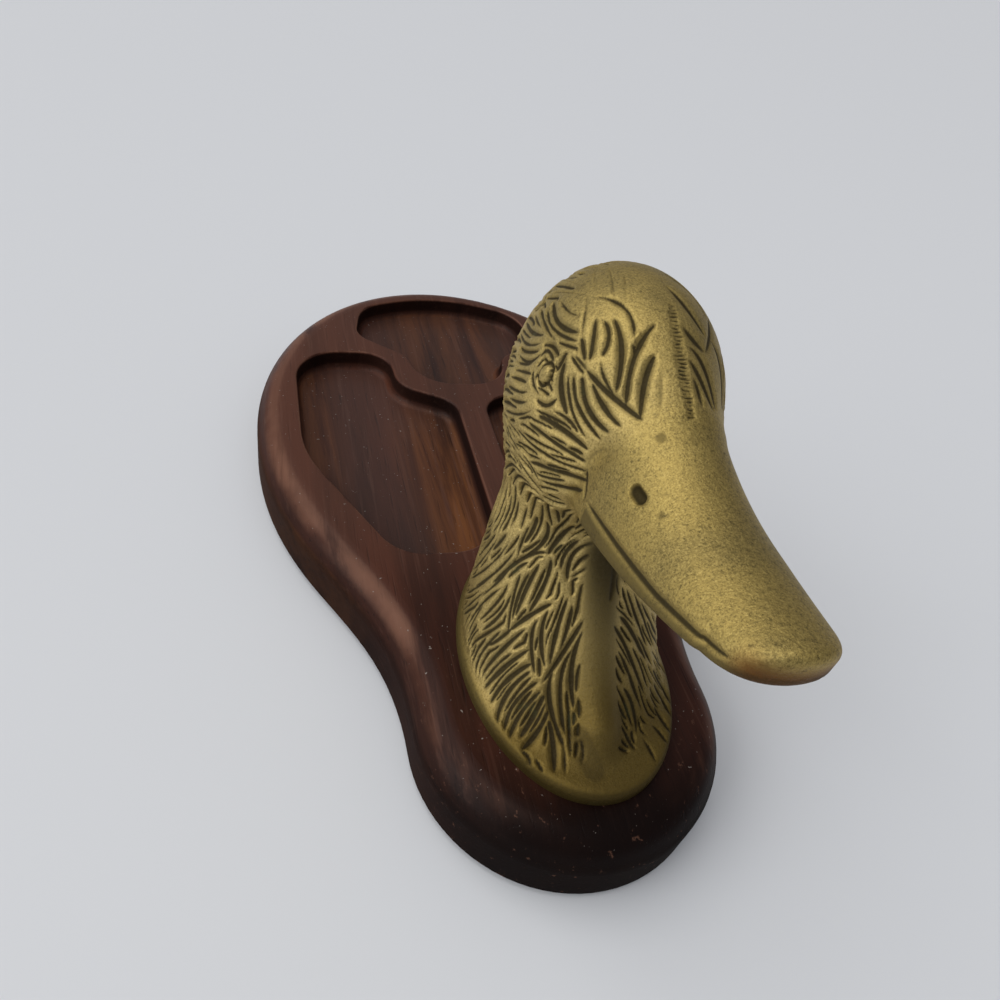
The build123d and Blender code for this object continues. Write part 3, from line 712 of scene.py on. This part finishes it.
def fillStrokes(drawn):
    taken = {}

    def cellOf(spot):
        return tuple((np.array(spot) // fill["cell"]).astype(int))

    def claim(line):
        for spot in line:
            taken.setdefault(cellOf(spot), []).append(spot)

    def crowded(spot, gap):
        cell = cellOf(spot)
        for dx, dy, dz in product((-1, 0, 1), repeat=3):
            for x, y, z in taken.get((cell[0] + dx, cell[1] + dy, cell[2] + dz), ()):
                if (x - spot[0]) ** 2 + (y - spot[1]) ** 2 + (z - spot[2]) ** 2 < gap**2:
                    return True
        return False

    for stroke in drawn:
        claim(stroke["line"])
    added = []
    for name in rng.integers(0, len(skinPoints), fill["seeds"]):
        start = skin.find_nearest(Vector(skinPoints[name]))[0]
        if plainPlace(start) or crowded(start, fill["gap"]):
            continue
        reach, line = fill["reach"] * rng.uniform(0.6, 1.2), [np.array(start)]
        for way in (1, -1):
            spot, travelled, part = start.copy(), 0.0, []
            while travelled < reach:
                foot, normal = skin.find_nearest(spot)[:2]
                spot = foot + feathersLie(foot, normal) * (fill["step"] * way)
                if plainPlace(spot) or crowded(spot, fill["stop"]):
                    break
                part.append(np.array(skin.find_nearest(spot)[0]))
                travelled += fill["step"]
            line = line + part if way == 1 else part[::-1] + line
        if len(line) * fill["step"] < fill["shortest"]:
            continue
        half = fill["half"] * rng.uniform(0.75, 1.25)
        stroke = makeStroke(line, half, fill["depth"] * rng.uniform(0.7, 1.2))
        if stroke:
            claim(stroke["line"])
            added.append(stroke)
    return added


strokes = seen + fillStrokes(seen)
print("strokes with the fill:", len(strokes))


# The two cast halves

mouth = {"shares": (0.0, 0.9), "half": 0.95, "depth": 0.9, "rise": 1.8, "corner": 2.1, "cornerFade": 1.8,
         "stain": 0.76, "points": 60, "uneven": 0.05}
eye = {"pixel": (545, 374), "ball": 1.4, "tall": 1.45, "rise": 0.6, "ring": 2.2, "sink": 0.6, "stain": 0.15}
dabs = {"nostril": {"pixel": (635, 491), "end": (640, 498), "reach": 1.5, "sink": 1.3, "stain": 0.78,
                    "pair": True},
        "footPatch": {"pixel": (580, 738), "end": (594, 770), "reach": 3.6, "stain": 0.4},
        "browSpot": {"pixel": (661, 438), "reach": 1.4, "stain": 0.42},
        "seamSpot": {"pixel": (694, 441), "reach": 1.2, "stain": 0.30},
        "billSpot": {"pixel": (662, 516), "reach": 0.95, "stain": 0.42}}
# painted shade under the bill's end, down the chest ridge and along the foot's lip, and a stain along the
# jaw
grimeAndShade = {"tipBack": 5.5, "tipRise": 19.5, "tipFade": 4, "tip": 0.30, "ridgeOut": 1.5, "ridgeFade": 1.8,
         "throatFade": 10, "ridgeHeights": (34, 46, 64), "ridge": (0.3, 0.5, 1.0), "jawFade": 1.5,
         "jawLow": 76, "jaw": 0.5, "lipRise": 0.5, "lipFade": 1.0, "lip": 0.46, "billEdge": 1.5}


def mouthLift(share):                                     # the mouth line above the bill's edge
    return mouth["rise"] + mouth["corner"] * np.maximum(0, 1 - mouth["cornerFade"] * share)


def mouthStrokes():
    made = []
    for side in (-1, 1):
        line = []
        for share in np.linspace(*mouth["shares"], mouth["points"]):
            half, _, edge, _ = billSizes(share)
            line.append((side * half, bill["base"] - share * bill["length"], edge + mouthLift(share)))
        stroke = makeStroke(settle(np.array(line)), mouth["half"], mouth["depth"], mouth["uneven"])
        made.append({**stroke, "stain": mouth["stain"]})
    return made


def sidePlace(pixel, side):                               # a pixel's place, on the near or the far half
    place = castPixel(pixel)
    return Vector((side * abs(place.x), place.y, place.z))


def halfShell(side):
    work = bmesh.new()
    made = [work.verts.new(p) for p in shellPoints * np.array([side, 1, 1])]
    for quad in shellQuads if side > 0 else shellQuads[:, ::-1]:
        work.faces.new([made[i] for i in quad])
    work.verts.index_update()
    return work


def halveEdges(work, edges):
    bmesh.ops.subdivide_edges(work, edges=edges, cuts=1, use_grid_fill=True)


def refineNear(work, cuts, hole):                         # finer faces at the strokes and the nostril
    marks = []
    for stroke in cuts:
        lifts = carve["broadMarks"] if stroke["half"].max() > carve["broad"] else (0,)
        marks += [stroke["line"] + np.array((0, 0, lift)) for lift in lifts]
    tree = treeOf(np.concatenate(marks))
    close = {v: tree.find(v.co)[2] < carve["near"] or (v.co - hole).length < carve["holeNear"]
             for v in work.verts}
    halveEdges(work, [e for e in work.edges if close[e.verts[0]] or close[e.verts[1]]])
    halveEdges(work, [e for e in work.edges if (e.verts[0].co - hole).length < carve["holeFine"]])


def cutNormals(points):                                   # flat along the seam and the underside
    normals = slopeAt(points)[1]
    normals[onSeam(points), 0] = 0
    normals[onTray(points), 2] = 0
    return normals / np.maximum(np.linalg.norm(normals, axis=1), 1e-9)[:, None]


def cutStrokes(tree, cuts, sink, stainAndShade):                 # rounded shoulders, stained along the bottom
    for stroke in cuts:
        stain = stroke.get("stain", 1.0)
        for spot, half, depth in zip(stroke["line"], stroke["half"], stroke["depth"]):
            wide = carve["shoulder"] * half
            for _, i, gap in tree.find_range(spot, wide):
                bowl = 1 - (gap / wide) ** 2
                sink[i] = max(sink[i], depth * bowl**2)
                dark = min(1.0, (carve["darkEdge"] - gap / half) / carve["darkFade"])
                dark = max(dark, carve["halo"] * bowl)
                stainAndShade[i] = max(stainAndShade[i], dark * min(1.0, depth / carve["fullStain"]) * stain)


def raiseEye(tree, socket, sink, swell, stainAndShade):
    for spot, i, gap in tree.find_range(socket, eye["ring"] * eye["tall"]):
        along = (spot - socket).z                         # the eye stands taller than wide
        gap = math.sqrt(gap**2 - along**2 + (along / eye["tall"]) ** 2)
        if gap < eye["ball"]:
            swell[i] = eye["rise"] * math.sqrt(1 - (gap / eye["ball"]) ** 2)
            sink[i], stainAndShade[i] = 0, eye["stain"]
        elif gap < eye["ring"]:
            share = math.sin(math.pi * (gap - eye["ball"]) / (eye["ring"] - eye["ball"]))
            sink[i], stainAndShade[i] = max(sink[i], eye["sink"] * share), max(stainAndShade[i], share)


def pressDabs(tree, side, sink, stainAndShade):                  # nostrils and single spots
    for dab in dabs.values():
        for t in np.linspace(0, 1, carve["dabSteps"]):
            pixel = [a + (b - a) * t for a, b in zip(dab["pixel"], dab.get("end", dab["pixel"]))]
            place = sidePlace(pixel, side) if "pair" in dab else castPixel(pixel)
            for _, i, gap in tree.find_range(place, dab["reach"]):
                share = 1 - (gap / dab["reach"]) ** 2
                sink[i] = max(sink[i], dab.get("sink", 0.0) * share)
                stainAndShade[i] = max(stainAndShade[i], dab["stain"] * min(1, carve["dabFirm"] * share))


def stainAndShadePlaces(points, stainAndShade):                          # stain and painted shade by place, and where the brass is bare
    x, y, z = points.T
    tip = bill["base"] - bill["length"]
    end = np.clip((tip + grimeAndShade["tipBack"] - y) / grimeAndShade["tipFade"], 0, 1)
    under = np.clip((bill["mouth"] + grimeAndShade["tipRise"] - z) / grimeAndShade["tipFade"], 0, 1)
    stainAndShade = np.maximum(stainAndShade, grimeAndShade["tip"] * (end * under))         # painted shade under the bill's end
    ridge = np.clip((grimeAndShade["ridgeOut"] - ridgeField(x, y, z)) / grimeAndShade["ridgeFade"], 0, 1)
    ridge = ridge * np.clip((bill["mouth"] - z) / grimeAndShade["throatFade"], 0, 1)
    stainAndShade = np.maximum(stainAndShade, ridge * np.interp(z, grimeAndShade["ridgeHeights"], grimeAndShade["ridge"]))    # painted shadow of the bill down the chest ridge
    share = (bill["base"] - y) / bill["length"]
    jaw = np.clip((billSizes(share)[2] + mouthLift(share) - z) / grimeAndShade["jawFade"], 0, 1)
    stainAndShade = np.maximum(stainAndShade, grimeAndShade["jaw"] * (jaw * (share > 0) * (z > grimeAndShade["jawLow"])))
    bare = np.clip(-(billField(x, y, z) - grimeAndShade["billEdge"]) / grimeAndShade["billEdge"], 0, 1)
    # painted shade along the foot's lip
    lip = np.clip((duck["lipTop"] + grimeAndShade["lipRise"] - z) / grimeAndShade["lipFade"], 0, 1)
    return np.maximum(stainAndShade, grimeAndShade["lip"] * lip), np.maximum(bare, lip)


def carveHalf(name, side):
    work = halfShell(side)
    cuts = strokes + mouthStrokes()
    refineNear(work, cuts, sidePlace(dabs["nostril"]["pixel"], side))
    points = settle(np.array([v.co for v in work.verts]))
    tree = treeOf(points)
    sink, swell, stainAndShade = np.zeros(len(points)), np.zeros(len(points)), np.zeros(len(points))
    cutStrokes(tree, cuts, sink, stainAndShade)
    raiseEye(tree, sidePlace(eye["pixel"], side), sink, swell, stainAndShade)
    pressDabs(tree, side, sink, stainAndShade)
    points = points + cutNormals(points) * (np.where(sink > carve["flat"], 0, swell) - sink)[:, None]
    stainAndShade, bare = stainAndShadePlaces(points, stainAndShade)
    for v, point in zip(work.verts, points):
        v.co = Vector(point) * milli
    for f in work.faces:
        f.smooth = True
    work.normal_update()
    lean = np.array([v.normal for v in work.verts])       # both halves share the seam's normals
    lean[onSeam(points), 0] = 0
    capHalf(work)
    mesh = bpy.data.meshes.new(name)
    work.to_mesh(mesh)
    work.free()
    mesh.normals_split_custom_set_from_vertices(lean / np.linalg.norm(lean, axis=1)[:, None])
    # the carving's stain together with the painted shade, and where the brass is bare
    for label, values in (("stainAndShade", stainAndShade), ("bare", bare)):
        layer = mesh.attributes.new(label, "FLOAT", "POINT")
        layer.data.foreach_set("value", np.resize(values, len(mesh.vertices)).astype(np.float32))
    return placeMesh(mesh, name)


def capHalf(work):                                        # closes the seam face and the underside
    rim = [e for e in work.edges if e.is_boundary]
    seam = [e for e in rim if all(abs(v.co.x) < 1e-8 for v in e.verts)]
    onRim = set(seam)
    under = [e for e in rim if e not in onRim]
    onUnder = set(under)
    corners = [v for v in {v for e in seam for v in e.verts} if any(e in onUnder for e in v.link_edges)]
    corners.sort(key=lambda v: v.co.y)
    bar = work.edges.new((corners[0], corners[-1]))
    for loop in (seam + [bar], under + [bar]):
        filled = bmesh.ops.triangle_fill(work, use_beauty=False, edges=loop)
        for face in filled["geom"]:
            if isinstance(face, bmesh.types.BMFace):
                face.smooth = False
    bmesh.ops.recalc_face_normals(work, faces=work.faces)


def placeMesh(mesh, name):
    piece = bpy.data.objects.new(name, mesh)
    bpy.context.scene.collection.objects.link(piece)
    return piece


brassSkin = brassMaterial()
for name, side, node in (("carvedHalfLeft", 1, "head_half_left"),
                         ("carvedHalfRight", -1, "head_half_right")):
    half = carveHalf(name, side)
    half.data.materials.append(brassSkin)
    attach(half, "root")
    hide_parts(node)
    print(name, sum(len(p.vertices) - 2 for p in half.data.polygons), "triangles")


# Carried-over pieces

steelSkin = steelMaterial()
for node, material, slot in (("tray_base", woodMaterial(), "stained_wood"),
                             ("base_felt", feltMaterial(), "felt"),
                             ("mounting_screws", steelSkin, "screw_steel"),
                             ("screw_washers", steelSkin, "screw_steel")):
    piece = nodes[node]
    piece.data.materials.clear()
    piece.data.materials.append(material)
print("tray, felt and screws finished")


# Pale floor and soft studio light

studio = {"floor": (0.74, 0.75, 0.77, 1), "floorHalf": 6.0, "floorRough": 0.6,
          "bright": (0.86, 0.89, 0.94, 1), "dim": (0.48, 0.48, 0.51, 1), "strength": 0.5,
          "fromLeft": 0.62, "fromAbove": 0.75, "reach": (-0.25, 0.95)}
lamps = {"skyPanel": {"aim": (-0.50, 0.16, 1.0), "spread": 60.0, "level": 1.25,
                      "tone": (1.0, 0.985, 0.96)},
         "sidePanel": {"aim": (-1.0, -0.22, 0.45), "spread": 45.0, "level": 0.95,
                       "tone": (0.97, 0.985, 1.0)}}


def makeFloor():
    half = studio["floorHalf"]
    mesh = bpy.data.meshes.new("paleFloor")
    corners = [(-half, -half, 0), (half, -half, 0), (half, half, 0), (-half, half, 0)]
    mesh.from_pydata(corners, [], [(0, 1, 2, 3)])
    floor = placeMesh(mesh, "paleFloor")
    material, wire = startMaterial("paleFloor")
    closeMaterial(wire, {"Base Color": studio["floor"], "Roughness": studio["floorRough"]})
    mesh.materials.append(material)


def makeLamps():
    for name, lamp in lamps.items():
        light = bpy.data.lights.new(name, "SUN")
        light.angle, light.energy, light.color = math.radians(lamp["spread"]), lamp["level"], lamp["tone"]
        holder = bpy.data.objects.new(name, light)
        holder.location = lamp["aim"]
        holder.rotation_euler = (-Vector(lamp["aim"])).to_track_quat("-Z", "Y").to_euler()
        bpy.context.scene.collection.objects.link(holder)


def makeRoom():                                           # brighter above and to the left
    world = bpy.data.worlds.new("softRoom")
    world.use_nodes = True
    world.node_tree.nodes.clear()
    wire = Wire(world.node_tree)
    way = wire.node("ShaderNodeTexCoord", {}, {}, "Generated")
    x, z = (wire.node("ShaderNodeSeparateXYZ", {}, {0: way}, axis) for axis in "XZ")
    share = (z * studio["fromAbove"] - x * studio["fromLeft"]).span(*studio["reach"])
    dim, bright = (wire.node("ShaderNodeBackground", {}, {
        "Color": studio[tone], "Strength": studio["strength"]}) for tone in ("dim", "bright"))
    sky = wire.node("ShaderNodeMixShader", {}, {0: share, 1: dim, 2: bright})
    wire.node("ShaderNodeOutputWorld", {}, {"Surface": sky})
    bpy.context.scene.world = world
    bpy.context.scene.view_settings.view_transform = "Standard"


makeFloor()
makeLamps()
makeRoom()
print("studio lit")
